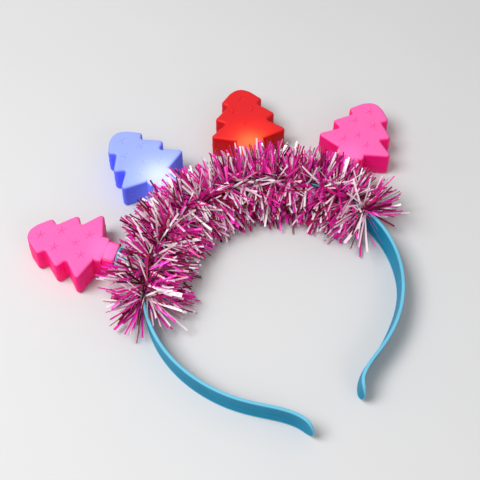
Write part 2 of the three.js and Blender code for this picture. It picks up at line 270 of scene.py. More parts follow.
class Channel:
    """A node's output that takes part in shader maths."""

    def __init__(self, paint: "Paint", socket: bpy.types.NodeSocket) -> None:
        """Wrap an output of a paint's node."""
        self.paint = paint
        self.socket = socket

    def maths(self, operation: str, *values: Any) -> "Channel":
        """A Math node on these values, in their order."""
        return self.paint.node("ShaderNodeMath", {"operation": operation}, dict(enumerate(values)))

    def __add__(self, other: Any) -> "Channel":
        """Sum."""
        return self.maths("ADD", self, other)

    def __radd__(self, other: Any) -> "Channel":
        """Sum with a number on the left."""
        return self.maths("ADD", other, self)

    def __sub__(self, other: Any) -> "Channel":
        """Difference."""
        return self.maths("SUBTRACT", self, other)

    def __rsub__(self, other: Any) -> "Channel":
        """Difference from a number."""
        return self.maths("SUBTRACT", other, self)

    def __mul__(self, other: Any) -> "Channel":
        """Product."""
        return self.maths("MULTIPLY", self, other)

    def __rmul__(self, other: Any) -> "Channel":
        """Product with a number on the left."""
        return self.maths("MULTIPLY", other, self)

    def __truediv__(self, other: Any) -> "Channel":
        """Quotient."""
        return self.maths("DIVIDE", self, other)

    def __rtruediv__(self, other: Any) -> "Channel":
        """Quotient of a number."""
        return self.maths("DIVIDE", other, self)

    def held(self) -> "Channel":
        """The value held between 0 and 1."""
        return self.maths("MINIMUM", self.maths("MAXIMUM", self, 0.0), 1.0)

    def vary(self, amount: Pair) -> "Channel":
        """A first amount, with this value's share of a second one added."""
        return amount[0] + amount[1] * self


class Paint:
    """A material that is written as expressions on its nodes' outputs."""

    def __init__(self, name: str) -> None:
        """Start a material with a plain principled shader.

        Args:
            name: Its name.
        """
        self.material = bpy.data.materials.new(name)
        self.material.use_nodes = True
        self.nodes = self.material.node_tree.nodes
        self.links = self.material.node_tree.links
        self.shader = next(node for node in self.nodes if node.type == "BSDF_PRINCIPLED")

    def node(
        self,
        kind: str,
        settings: dict[str, Any] | None = None,
        sockets: dict[int | str, Any] | None = None,
        output: int | str = 0,
    ) -> Channel:
        """A new node of any kind.

        Args:
            kind: The node's type.
            settings: Its settings by name, set first; stops are a ramp's places and colours.
            sockets: Values or channels for its inputs, by name or number.
            output: The output that is wanted.

        Returns:
            That output.
        """
        made = self.nodes.new(kind)
        for name, value in (settings or {}).items():
            if name != "stops":
                setattr(made, name, value)
                continue
            made.color_ramp.interpolation = "B_SPLINE"
            stops = made.color_ramp.elements
            while len(stops) < len(value):
                stops.new(1.0)
            for stop, (place, colour) in zip(stops, value):
                stop.position = place
                stop.color = (*colour, 1.0)
        for name, value in (sockets or {}).items():
            self.feed(made.inputs[name], value)
        return Channel(self, made.outputs[output])

    def feed(self, socket: bpy.types.NodeSocket, value: Any) -> None:
        """Link a channel to a socket, or set the socket's own value.

        Args:
            socket: The socket.
            value: A channel, a number, a vector or a colour.
        """
        if isinstance(value, Channel):
            self.links.new(value.socket, socket)
        elif socket.type == "RGBA" and len(value) == 3:
            socket.default_value = (*value, 1.0)
        else:
            socket.default_value = value

    def wear(self, inputs: dict[str, Any]) -> bpy.types.Material:
        """Set the shader's inputs.

        Args:
            inputs: Values or channels by the inputs' names.

        Returns:
            The material.
        """
        for name, value in inputs.items():
            self.feed(self.shader.inputs[name], value)
        return self.material

    def place(self) -> Channel:
        """Object coordinates."""
        return self.node("ShaderNodeTexCoord", output="Object")

    def mark(self, name: str) -> Channel:
        """A number that the mesh holds at each point."""
        return self.node("ShaderNodeAttribute", {"attribute_name": name}, output="Fac")

    def noise(self, per_metre: float, detail: float = 2.0) -> Channel:
        """Cloudy values from 0 to 1, so many to a metre."""
        sockets = {"Vector": self.place(), "Scale": per_metre, "Detail": detail}
        return self.node("ShaderNodeTexNoise", None, sockets)

    def distance(self, point: Vector) -> Channel:
        """Distance from a point."""
        settings = {"operation": "DISTANCE"}
        return self.node("ShaderNodeVectorMath", settings, {0: self.place(), 1: point}, output="Value")

    def ramp(self, value: Channel, stops: Sequence[tuple[float, Colour]]) -> Channel:
        """A colour that runs smoothly past stops as a value goes from 0 to 1."""
        return self.node("ShaderNodeValToRGB", {"stops": stops}, {"Fac": value})

    def mix(self, share: Any, first: Any, second: Any) -> Channel:
        """A blend of two colours."""
        return self.node("ShaderNodeMix", {"data_type": "RGBA"}, {0: share, 6: first, 7: second}, output=2)

    def bump(self, height: Channel, depth: float) -> Channel:
        """A normal that follows a height from 0 to 1, so many metres deep."""
        return self.node("ShaderNodeBump", None, {"Height": height, "Distance": depth, "Strength": 1.0})


@dataclass(frozen=True)
class BandPlastic:
    """Light blue moulded plastic with a painted highlight along its edges, and a fine moulded grain.

    Args:
        name: The material's name.
        deep: Colour of the darker clouds on the faces.
        body: Colour of the faces.
        edge: Colour of the painted highlight along the edges.
        clouds: Clouds to a metre.
        grains: Grains to a metre.
        relief: Depth of the grain.
        wear: Strength of the painted highlight along the edges, and how much more it has where the clouds are
            light.
        rough: Roughness, and what the grain adds to it.
        specular: Level of its reflections.
    """

    name: str = "band_plastic"
    deep: Colour = srgb(0, 116, 152)
    body: Colour = srgb(6, 142, 180)
    edge: Colour = srgb(112, 194, 222)
    clouds: float = 55
    grains: float = 2600
    relief: float = 0.02 * MM
    wear: Pair = (0.8, 0.3)
    rough: Pair = (0.36, 0.14)
    specular: float = 0.1

    def make(self) -> bpy.types.Material:
        """Mix the finish.

        Returns:
            The finished material.
        """
        paint = Paint(self.name)
        cloud = paint.noise(self.clouds, CLOUD_DETAIL)
        grain = paint.noise(self.grains)
        body = paint.mix(cloud, self.deep, self.body)
        # Painted highlight: the "edge" mark lightens the edges and rims towards the edge colour, as if they
        # catch the light.
        edge_highlight = (paint.mark("edge") * cloud.vary(self.wear)).held()
        return paint.wear({
            "Base Color": paint.mix(edge_highlight, body, self.edge),
            "Roughness": grain.vary(self.rough),
            "Specular IOR Level": self.specular,
            "Normal": paint.bump(grain, self.relief),
        })


@dataclass(frozen=True)
class TreePlastic:
    """Soft translucent plastic that a lamp in the neck lights from inside.

    Args:
        name: The material's name.
        deep: Colour of the walls: partly the plastic's own deeper colour, partly painted shade.
        face: Colour of the faces: partly the plastic's own paler colour, partly painted light that catches
            through them.
        glow: Colours of the lamp's light, from the dark far end to the place over the lamp.
        reach: How far the lamp's light carries from its middle.
        power: Strength of the light.
        stars: How far the engraved star marks take on the walls' colour, as painted shade in their grooves.
        clouds: Clouds to a metre.
        grains: Grains to a metre.
        relief: Depth of the clouds.
        grain_relief: Depth of the grain as a share of that.
        flicker: How far the clouds change the light.
        wall_glow: Share of the light that the walls show.
        mottle: How far the clouds change the face's colour.
        rough: Roughness, and what the grain adds to it.
        specular: Level of its reflections.
    """

    name: str
    deep: Colour
    face: Colour
    glow: tuple[tuple[float, Colour], ...]
    reach: float
    power: float
    stars: float
    clouds: float = 110
    grains: float = 1700
    relief: float = 0.05 * MM
    grain_relief: float = 0.25
    flicker: float = 0.04
    wall_glow: float = 0.6
    mottle: float = 0.28
    rough: Pair = (0.38, 0.14)
    specular: float = 0.16

    def make(self, lamp: Vector) -> bpy.types.Material:
        """The finished material.

        Args:
            lamp: Place of the lamp.

        Returns:
            The material.
        """
        paint = Paint(self.name)
        cloud = paint.noise(self.clouds, CLOUD_DETAIL)
        grain = paint.noise(self.grains)
        face = paint.mark("face")
        light = 1 - paint.distance(lamp) / self.reach + self.flicker * (cloud - 0.5)
        near = (light * face.vary((self.wall_glow, 1 - self.wall_glow))).held()
        # The "face" mark blends from the walls' colour to the faces' paler one; that is partly the plastic's
        # own colour and partly painted light.
        tint = (face * cloud.vary((1 - self.mottle / 2, self.mottle))).held()
        # Painted shade: the engraved star grooves take on the walls' deeper colour.
        tint = (tint - self.stars * paint.mark("star")).held()
        return paint.wear({
            "Base Color": paint.mix(tint, self.deep, self.face),
            "Roughness": grain.vary(self.rough),
            "Specular IOR Level": self.specular,
            "Emission Color": paint.ramp(near, self.glow),
            "Emission Strength": self.power,
            "Normal": paint.bump(cloud + self.grain_relief * grain, self.relief),
        })


@dataclass(frozen=True)
class LampLens:
    """Clear lamp body that shines, brightest at its dome.

    Args:
        name: The material's name.
        body: Colour of the lens.
        light: Colour of the light.
        power: Strength of the light.
        dim: Share of the light at its foot.
        clouds: Clouds to a metre.
        rough: Roughness, and what the clouds add to it.
    """

    name: str = "lamp_lens"
    body: Colour = (0.85, 0.84, 0.8)
    light: Colour = (1.0, 0.93, 0.82)
    power: float = 3.0
    dim: float = 0.2
    clouds: float = 800
    rough: Pair = (0.12, 0.1)

    def make(self) -> bpy.types.Material:
        """Mix the finish.

        Returns:
            The finished material.
        """
        paint = Paint(self.name)
        cloud = paint.noise(self.clouds)
        shade = tuple(self.dim * share for share in self.light)
        return paint.wear({
            "Base Color": paint.mix(cloud, self.body, self.light),
            "Roughness": cloud.vary(self.rough),
            "Emission Color": paint.mix(paint.mark("dome"), shade, self.light),
            "Emission Strength": self.power,
        })


@dataclass(frozen=True)
class Foil:
    """Metallised film, each strip in its own shade, with painted shade at its root where the strips crowd.

    Args:
        name: The material's name.
        dull: Darkest shade.
        bright: Lightest shade.
        metal: Share of metal gloss.
        share: Its share of the strips.
        root: Colour of the painted shade at the roots.
        fade: Share of a strip's own shade that shows through the painted root shade at its root, and how fast
            that grows towards its tip.
        spread: How far apart the strips' shades lie.
        creases: Creases to a metre.
        mottle: What the creases take from a shade and add to it.
        rough: Roughness, and what the creases add to it.
        relief: Depth of the creases.
    """

    name: str
    dull: Colour
    bright: Colour
    metal: float
    share: float
    root: Colour = srgb(74, 0, 34)
    fade: Pair = (0.35, 2.4)
    spread: float = 0.9
    creases: float = 1200
    mottle: Pair = (-0.1, 0.3)
    rough: Pair = (0.26, 0.2)
    relief: float = 0.03 * MM

    def make(self) -> bpy.types.Material:
        """Mix the finish.

        Returns:
            The finished material.
        """
        paint = Paint(self.name)
        crease = paint.noise(self.creases)
        shade = (self.spread * paint.mark("shade") + crease.vary(self.mottle)).held()
        strip = paint.mix(shade, self.dull, self.bright)
        # Painted shade: each strip darkens towards the root colour near its root, where the strips crowd.
        return paint.wear({
            "Base Color": paint.mix(paint.mark("tip").vary(self.fade).held(), self.root, strip),
            "Roughness": crease.vary(self.rough),
            "Metallic": self.metal,
            "Normal": paint.bump(crease, self.relief),
        })


# The band


class ArmBend(NamedTuple):
    """The band's turn from the crown on each arm, in degrees, at a distance along it in millimetres."""

    arc: float
    left: float
    right: float


ARM_BENDS = (
    ArmBend(0, 0, 0),
    ArmBend(25, 21, 22.5),
    ArmBend(50, 40, 44.5),
    ArmBend(75, 61, 67.5),
    ArmBend(100, 84.5, 91.5),
    ArmBend(125, 106, 113.5),
    ArmBend(150, 125.5, 134.5),
    ArmBend(170, 139.5, 150.5),
    ArmBend(180, 138.5, 153),
    ArmBend(190, 124.5, 139),
    ArmBend(200, 95, 88),
)


class Place(NamedTuple):
    """Points of the band's middle line with their outward and forward directions and their heading."""

    middle: np.ndarray
    outward: np.ndarray
    along: np.ndarray
    heading: np.ndarray


@dataclass
class BandPath:
    """The band's middle line, walked from the crown to both tips.

    Args:
        width: Width of the strip, which stands on edge.
        crown_lift: Height of its lower edge at the crown.
        reach: Distance in Y over which that height falls to the floor.
        shift: Place of the crown in the frame.
    """

    width: float = 14.2 * MM
    crown_lift: float = 0.25 * MM
    reach: float = 145 * MM
    shift: np.ndarray = field(default_factory=lambda: np.zeros(2))

    def __post_init__(self) -> None:
        """Walk each arm in steps of a millimetre, each along the heading at its middle."""
        bends = np.array(ARM_BENDS)
        self.length = bends[-1, 0] * MM
        whole = np.arange(0, bends[-1, 0] + 1)
        arms = []
        for side, column in ((-1, 1), (1, 2)):
            turned = np.radians(bends[:, column])
            middle = smooth_between(bends[:, 0], turned, whole[1:] - 0.5)
            heading = smooth_between(bends[:, 0], turned, whole)
            x = side * np.concatenate([[0], np.cumsum(np.cos(middle))]) * MM
            y = -np.concatenate([[0], np.cumsum(np.sin(middle))]) * MM
            arms.append(np.stack([x, y, side * heading], axis=1))
        self.walk = np.concatenate([arms[0][:0:-1], arms[1]])
        self.arcs = np.concatenate([-whole[:0:-1], whole]) * MM

    def at(self, arcs: np.ndarray) -> Place:
        """Places at signed distances from the crown, the left arm's negative.

        Args:
            arcs: Distances along the middle line.

        Returns:
            The places.
        """
        x, y, heading = (np.interp(arcs, self.arcs, self.walk[:, axis]) for axis in range(3))
        lift = self.crown_lift * (1 + y / self.reach)
        zero = np.zeros_like(x)
        return Place(
            np.stack([x + self.shift[0], y + self.shift[1], lift + self.width / 2], axis=-1),
            np.stack([np.sin(heading), np.cos(heading), zero], axis=-1),
            np.stack([np.cos(heading), -np.sin(heading), zero], axis=-1),
            heading,
        )


@dataclass
class Headband:
    """The moulded strip: a rim along both edges of its outer face, a low ridge between them, rounded tips.

    Args:
        path: Its middle line.
        thickness: Thickness of the strip.
        edge_round: Rounding of its long edges.
        rim_width: Width of each rim.
        rim_height: Height of each rim over the face.
        slope: Width of the slope beside each rim.
        crisp: Rounding of the corners beside the rims.
        ridge: Height of the ridge along the outer face.
        ridge_half: Half-width of the ridge.
        ridge_round: Rounding along the ridge's foot and along its top.
        ridge_drop: How far the ridge lies below the middle.
        lip: Depth of the inner face's hollow between its edges.
        flare: How far the upper edge leans out over the lower one.
        twist: How far the lower edge is tucked in besides, near the right arm's end.
        twist_rise: Where along the arm that starts and is full.
        twist_fall: Where along the arm it starts to fall and is over.
        tip_round: Length of each tip's rounding.
        tip_thin: Share of the thickness left at the tips.
        pale: Distances from an edge where its painted highlight starts to fade and ends.
        rim_pale: Strength of the painted highlight on the rims besides.
        corner_steps: Points on each corner of the section.
        arm_steps: Sections on each arm up to its tip.
        tip_steps: Sections on each tip.
    """

    path: BandPath
    thickness: float = 1.7 * MM
    edge_round: float = 0.4 * MM
    rim_width: float = 0.9 * MM
    rim_height: float = 0.25 * MM
    slope: float = 0.25 * MM
    crisp: float = 0.1 * MM
    ridge: float = 0.16 * MM
    ridge_half: float = 0.7 * MM
    ridge_round: Pair = (0.5 * MM, 0.3 * MM)
    ridge_drop: float = 1.6 * MM
    lip: float = 0.18 * MM
    flare: float = 0.7 * MM
    twist: float = 2.2 * MM
    twist_rise: Pair = (125 * MM, 160 * MM)
    twist_fall: Pair = (180 * MM, 198 * MM)
    tip_round: float = 6 * MM
    tip_thin: float = 0.5
    pale: Pair = (0.03 * MM, 0.3 * MM)
    rim_pale: float = 0.45
    corner_steps: int = 5
    arm_steps: int = 189
    tip_steps: int = 20

    def section(self) -> np.ndarray:
        """The strip's section: the corners of its rims, hollow and ridge, each rounded by an arc.

        Returns:
            Its points: x outward, y up from its middle.
        """
        outer, edge = self.thickness / 2, self.path.width / 2
        rim, floor = edge - self.rim_width, outer - self.rim_height
        slope, soft, crisp = self.slope, self.edge_round, self.crisp
        inner = -outer + self.lip
        foot, top = self.ridge_round
        corners = [
            Corner(floor, -self.ridge_drop + self.ridge_half, foot),
            Corner(floor, rim - slope, crisp),
            Corner(outer, rim, crisp),
            Corner(outer, edge, soft),
            Corner(-outer, edge, soft),
            Corner(-outer, rim, crisp),
            Corner(inner, rim - slope, crisp),
            Corner(inner, slope - rim, crisp),
            Corner(-outer, -rim, crisp),
            Corner(-outer, -edge, soft),
            Corner(outer, -edge, soft),
            Corner(outer, -rim, crisp),
            Corner(floor, slope - rim, crisp),
            Corner(floor, -self.ridge_drop - self.ridge_half, foot),
            Corner(floor + self.ridge, -self.ridge_drop, top),
        ]
        return rounded(corners, self.corner_steps)[..., :2].reshape(-1, 2)

    def squeeze(self, arcs: np.ndarray) -> np.ndarray:
        """Share of the strip's height left near a tip: the quarter circle sqrt(1 - t^2)."""
        past = (np.abs(arcs) - (self.path.length - self.tip_round)) / self.tip_round
        return np.sqrt(1 - np.clip(past, 0, 1) ** 2)

    def stations(self) -> np.ndarray:
        """Where the sections stand: evenly along the arms, and along a sine, so closer, round the tips.

        Returns:
            Distances from the crown, the left arm's negative.
        """
        plain = self.path.length - self.tip_round
        tip = plain + self.tip_round * np.sin(np.linspace(0, pi / 2, self.tip_steps + 1))[1:]
        arm = np.concatenate([np.linspace(0, plain, self.arm_steps + 1)[1:], tip])
        return np.concatenate([-arm[::-1], [0], arm])

    def surface(self) -> Surface:
        """The section carried along the path: middle + outward (x + lean) + up y, closed at both tips.

        Returns:
            The strip's surface.
        """
        arcs, section = self.stations(), self.section()
        place, share = self.path.at(arcs), self.squeeze(arcs)[:, None]
        height = section[:, 1] * share
        twist = self.twist * smoothstep(*self.twist_rise, arcs) * (1 - smoothstep(*self.twist_fall, arcs))
        lean = height / self.path.width
        thin = self.tip_thin + (1 - self.tip_thin) * share
        across = section[:, 0] * thin + self.flare * lean + twist[:, None] * (lean - 0.5)
        points = place.middle[:, None, :] + across[..., None] * place.outward[:, None, :]
        points[..., 2] += height
        inset = self.path.width / 2 - np.abs(section[:, 1])
        # Painted highlight: the "edge" mark lightens the rims and the long edges, as if they catch the light.
        rims = self.rim_pale * (inset < self.rim_width + self.crisp / 2)
        rims = np.maximum(rims, 1 - smoothstep(*self.pale, inset))
        ends = points[[0, -1]].mean(axis=1, keepdims=True) + np.zeros((2, len(section), 1))
        closed = np.concatenate([ends[:1], points, ends[1:]])
        return Surface.grid(closed, around=True, edge=rims)

    def build(self, finish: bpy.types.Material) -> None:
        """Make the strip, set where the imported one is.

        Args:
            finish: The band's plastic.
        """
        low, high = (np.array(corner)[:2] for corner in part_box("headband"))
        points = self.surface().points[:, :2]
        self.path.shift = (low + high) / 2 - (points.min(axis=0) + points.max(axis=0)) / 2
        make_piece("headband_strip", self.surface(), finish, "headband")


# Trees on their sockets


class Side(NamedTuple):
    """A corner on one side of a tree, in millimetres: distance out from the band, half-width, rounding."""

    out: float
    half: float
    round: float


TREE_SIDE = (
    Side(28.2, 8.2, 2),
    Side(32.7, 22.2, 1.8),
    Side(41.8, 11.7, 1),
    Side(45.3, 17.6, 1.8),
    Side(54.4, 8.7, 1),
    Side(57.6, 12, 1.8),
    Side(64.3, 6.1, 9),
    Side(68.2, 0, 7),
)


class Star(NamedTuple):
    """Middle of a star mark, in millimetres: distance out from the band and distance across."""

    out: float
    across: float


STARS = (
    Star(59.8, 0),
    Star(50.2, -5.5),
    Star(50.2, 5.5),
    Star(40.5, 0),
    Star(35.2, -6.5),
    Star(35.2, 6.5),
)


@dataclass
class Stand:
    """Where a tree, its socket and its lamp stand: +Y out from the band, +Z up.

    Args:
        origin: Foot at the band, at the middle of the tree's thickness.
        turn: Turn about Z.
    """

    origin: np.ndarray
    turn: float

    def rotation(self) -> np.ndarray:
        """The turn as a matrix for row vectors."""
        c, s = cos(self.turn), sin(self.turn)
        return np.array([[c, s, 0], [-s, c, 0], [0, 0, 1]])

    def out(self, points: np.ndarray) -> np.ndarray:
        """Points of the stand in the frame."""
        return points @ self.rotation() + self.origin

    def back(self, points: np.ndarray) -> np.ndarray:
        """Points of the frame in the stand."""
        return (points - self.origin) @ self.rotation().T

    def set_out(self, surface: Surface) -> Surface:
        """A surface of the stand in the frame."""
        return Surface(self.out(surface.points), surface.faces, surface.marks)


@dataclass
class Tree:
    """A tree figure with three tiers, a square trunk over a rounder neck, and star marks in its front.

    Args:
        thickness: Thickness from back to front.
        edge_round: Rounding of the edges round both faces.
        edge_face: Share of that rounding where the walls' colour, partly painted shade, ends.
        seam: Height of the parting seam round the wall.
        seam_rings: Heights over the seam's middle of the rings beside it.
        neck_half: Half-width of the neck.
        neck_start: Where the neck meets its socket.
        neck_power: Power of its section.
        neck_face: Depths under the neck's front where the walls' colour ends and the face's paler colour,
            partly painted light, begins.
        trunk_half: Half-width of the trunk.
        trunk_start: Where the trunk ends over the neck.
        trunk_power: Power of its section.
        trunk_top: Where the trunk ends inside the lowest tier.
        spigot_radius: Radius of the plug in the socket.
        spigot_start: Where the plug ends.
        ease: Size of the small edges along the plug, the neck and the trunk.
        neck_steps: Rings along the neck.
        step_steps: Rings over the step from the neck to the trunk.
        star_rays: Number of a star's rays.
        star_reach: Length of a star's rays.
        star_half: Half-width of a ray at its root.
        star_taper: How much narrower a ray is at its end.
        star_slope: Distances from a ray's edge between which its side slopes.
        star_end: Share of a ray's length where its end starts to slope.
        star_depth: Depth of the marks.
        root_room: How far out from the band the strips' roots may lie in a cup.
        fine: Spacing of the front's points.
        back_columns: Points in each row of the back.
        corner_steps: Points on each corner of the outline.
        edge_steps: Points on each rounded edge.
        sides: Steps in the turn of the trunk.
    """

    thickness: float = 15.6 * MM
    edge_round: float = 1.7 * MM
    edge_face: float = 0.25
    seam: float = 0.14 * MM
    seam_rings: tuple[float, ...] = (0.6 * MM, 0.45 * MM, 0.2 * MM)
    neck_half: float = 7.4 * MM
    neck_start: float = 18.4 * MM
    neck_power: float = 3.6
    neck_face: Pair = (1.6 * MM, 0.1 * MM)
    trunk_half: float = 7.75 * MM
    trunk_start: float = 24.6 * MM
    trunk_power: float = 9.0
    trunk_top: float = 31 * MM
    spigot_radius: float = 5.4 * MM
    spigot_start: float = 12.6 * MM
    ease: float = 0.5 * MM
    neck_steps: int = 6
    step_steps: int = 12
    star_rays: int = 5
    star_reach: float = 2.8 * MM
    star_half: float = 0.22 * MM
    star_taper: float = 0.5
    star_slope: Pair = (-0.15 * MM, 0.25 * MM)
    star_end: float = 0.86
    star_depth: float = 0.3 * MM
    root_room: float = 2 * MM
    fine: float = 0.27 * MM
    back_columns: int = 4
    corner_steps: int = 11
    edge_steps: int = 8
    sides: int = 128

    def side(self) -> np.ndarray:
        """One side of the outline from its base to the apex, finely divided.

        Returns:
            Rows of x, y and heading.
        """
        right = [Corner(row.half * MM, row.out * MM, row.round * MM) for row in TREE_SIDE]
        left = [corner._replace(x=-corner.x) for corner in reversed(right[:-1])]
        arcs = rounded(right + left, self.corner_steps)
        apex = arcs[len(right) - 1, : self.corner_steps // 2]
        line = np.concatenate([arcs[: len(right) - 1].reshape(-1, 3), apex])
        line[:, 2] = np.unwrap(line[:, 2])
        run = np.concatenate([[0], np.cumsum(np.linalg.norm(np.diff(line[:, :2], axis=0), axis=1))])
        fill = np.arange(0, run[-1], self.fine)
        clear = fill[np.abs(fill[:, None] - run).min(axis=1) > self.fine / 2]
        at = np.sort(np.concatenate([run, clear]))
        return np.stack([np.interp(at, run, column) for column in line.T], axis=1)

    def loop(self) -> tuple[np.ndarray, np.ndarray]:
        """The whole outline: one side and its mirror, from the right of the base round to its left.

        Returns:
            Its points, and its inward directions there.
        """
        side = self.side()
        inward = np.stack([-np.sin(side[:, 2]), np.cos(side[:, 2])], axis=1)
        mirror = np.array([-1, 1])
        loop = np.concatenate([side[:, :2], side[::-1, :2] * mirror])
        return loop, np.concatenate([inward, inward[::-1] * mirror])

    def dents(self, x: np.ndarray, y: np.ndarray) -> np.ndarray:
        """The star marks: rays that taper from a star's middle, with sloping sides.

        Args:
            x: Distances across.
            y: Distances out from the band.

        Returns:
            Share of the marks' depth there.
        """
        depth = np.zeros_like(x)
        pitch = tau / self.star_rays
        for star in STARS:
            across, up = x - star.across * MM, y - star.out * MM
            reach = np.hypot(across, up)
            turn = (np.arctan2(across, up) + pitch / 2) % pitch - pitch / 2
            beside = np.abs(reach * np.sin(turn))
            share = reach / self.star_reach
            half = self.star_half * (1 - self.star_taper * share)
            ray = 1 - smoothstep(*self.star_slope, beside - half)
            depth = np.maximum(depth, ray * (1 - smoothstep(self.star_end, 1.0, share)))
        return depth

    def face(self, loop: np.ndarray, columns: int, front: bool) -> Surface:
        """A face between the two sides of an inset outline.

        Each row runs straight across between two points that mirror each other, and the first and last rows
        close onto their two end points. The front has the star marks.

        Args:
            loop: The inset outline.
            columns: Number of points in each row, even.
            front: Whether it is the front.

        Returns:
            The face.
        """
        half = len(loop) // 2
        across = np.tile(np.linspace(1, -1, columns), (half, 1))
        across[[0, -1]] = np.sign(across[0])
        x = loop[:half, :1] * across
        y = loop[:half, 1:] + 0 * across
        # The "star" mark is painted shade in the engraved grooves of the front.
        dents = self.dents(x, y) * front
        z = self.thickness * (front - 0.5) - self.star_depth * dents
        # The "face" mark gives the faces their paler colour, partly painted light.
        return Surface.grid(np.stack([x, y, z], axis=-1), face=1.0, star=dents)

    def wall(self, loop: np.ndarray, inward: np.ndarray) -> Surface:
        """The wall: the outline drawn in along a quarter circle at both faces, with the seam half way.

        Args:
            loop: The outline.
            inward: Its inward directions.

        Returns:
            The wall.
        """
        angle = np.linspace(0, pi / 2, self.edge_steps)
        top = self.thickness / 2 - self.edge_round
        inset = np.concatenate([self.edge_round * (1 - np.sin(angle)), [0, 0, -self.seam]])
        height = np.concatenate([top + self.edge_round * np.cos(angle), self.seam_rings])
        inset = np.concatenate([inset, inset[::-1]])[:, None, None]
        height = np.concatenate([height, -height[::-1]])
        ring = loop + inset * inward
        level = np.broadcast_to(height[:, None, None], (*ring.shape[:2], 1))
        # The "face" mark: the walls' colour, partly painted shade, up to the faces' paler colour, partly
        # painted light.
        start = top + self.edge_face * self.edge_round
        share = smoothstep(start, self.thickness / 2, np.abs(height))
        points = np.concatenate([ring, level], axis=2)
        return Surface.grid(points, around=True, face=share[:, None], star=0.0)

    def trunk(self) -> Surface:
        """The plug, the neck and the squarer trunk that steps out over it, closed inside the lowest tier.

        Returns:
            All three as one surface turned about the tree's axis.
        """
        ease = self.ease
        cut = 0.3 * ease
        # The step out to the trunk starts a little before its place and is full some way after it.
        before, after = 0.4 * ease, 2 * ease
        plug = np.array([
            [0, self.spigot_start],
            [self.spigot_radius - ease, self.spigot_start],
            [self.spigot_radius, self.spigot_start + ease],
            [self.spigot_radius, self.neck_start],
            [self.neck_half - ease, self.neck_start],
            [self.neck_half - cut, self.neck_start + cut],
        ])
        neck = np.linspace(self.neck_start + ease, self.trunk_start - ease, self.neck_steps)
        step = np.linspace(self.trunk_start - ease / 2, self.trunk_start + after, self.step_steps)
        out = np.concatenate([neck, step, [self.trunk_top]])
        square = np.sqrt(np.clip((out - self.trunk_start + before) / (before + after), 0, 1))
        half = self.neck_half + (self.trunk_half - self.neck_half) * square
        rise = np.stack([half, out], axis=1)
        profile = np.concatenate([plug, rise, [[0, self.trunk_top]]])
        squarer = self.neck_power + (self.trunk_power - self.neck_power) * square
        # Four rows of the plug are round, and its last two already have the neck's section.
        power = np.concatenate([np.full(4, 2.0), np.full(2, self.neck_power), squarer, squarer[-1:]])
        surface = Surface.turned(profile, self.sides, power)
        # The "face" mark gives the neck's front and back the faces' paler colour, partly painted light.
        level = np.abs(surface.points[:, 2])
        low, high = self.neck_face
        surface.marks["face"] = smoothstep(self.neck_half - low, self.neck_half - high, level)
        surface.marks["star"] = np.zeros_like(level)
        return surface

    def holds(self, points: np.ndarray, room: float) -> np.ndarray:
        """Whether points lie in the tree or its stem, or closer to them than some room.

        Args:
            points: Points of the stand, along the last axis.
            room: The room.

        Returns:
            A flag for each point.
        """
        x, out, z = np.moveaxis(points, -1, 0)
        cup = (np.hypot(x, z) < self.neck_half + room) & (out > self.root_room) & (out < self.neck_start)
        beside = np.maximum(np.abs(x), np.abs(z))
        trunk = (beside < self.trunk_half + room) & (out > self.neck_start - room) & (out < self.trunk_top)
        side = self.side()
        half = np.interp(out, side[:, 1], side[:, 0], left=0, right=0)
        body = (np.abs(x) < half + room) & (half > 0) & (np.abs(z) < self.thickness / 2 + room)
        return cup | trunk | body

    def surface(self) -> Surface:
        """Both faces, the wall round them and the trunk.

        Returns:
            The tree's surface.
        """
        loop, inward = self.loop()
        inset = loop + self.edge_round * inward
        columns = 2 * int(inset[:, 0].max() / self.fine)
        faces = [self.face(inset, columns, True), self.face(inset, self.back_columns, False)]
        return Surface.joined([*faces, self.wall(loop, inward), self.trunk()])


@dataclass
class Socket:
    """The cup on the band that holds a tree's plug and its lamp.

    Args:
        foot: Where it starts, in the band's outer face.
        radius: Radius of the cup.
        rim_radius: Radius of its rim.
        rim_start: Where the rim starts.
        top: Where the rim ends.
        bore: Radius of the cup's bore.
        floor: Bottom of the bore.
        post_radius: Radius of the lamp's post.
        post_top: Top of the post.
        ease: Size of the small edges along the rim.
        rim_pale: Strength of the painted highlight on the rim.
        sides: Steps in its turn.
    """

    foot: float = 0.1 * MM
    radius: float = 6.9 * MM
    rim_radius: float = 7.5 * MM
    rim_start: float = 16.9 * MM
    top: float = 18.1 * MM
    bore: float = 5.8 * MM
    floor: float = 12 * MM
    post_radius: float = 3 * MM
    post_top: float = 19 * MM
    ease: float = 0.3 * MM
    rim_pale: float = 0.6
    sides: int = 64

    def surface(self, shift: float) -> Surface:
        """The cup with its rim, bore and post, turned about the tree's axis.

        Args:
            shift: How far the stand is out from the band's middle line.

        Returns:
            The socket's surface.
        """
        ease = self.ease
        foot = self.foot - shift
        profile = np.array([
            [0, foot],
            [self.radius, foot],
            [self.radius, self.rim_start - 2 * ease],
            [self.rim_radius - ease, self.rim_start - 0.5 * ease],
            [self.rim_radius, self.rim_start + ease],
            [self.rim_radius, self.top - ease],
            [self.rim_radius - ease, self.top],
            [self.bore, self.top],
            [self.bore, self.floor],
            [self.post_radius, self.floor],
            [self.post_radius, self.post_top],
            [0, self.post_top],
        ])
        # Painted highlight: the "edge" mark lightens the rim, as if it catches the light.
        rim = smoothstep(self.rim_start - ease, self.rim_start + ease, profile[:, 1])
        return Surface.turned(profile, self.sides, edge=self.rim_pale * rim)


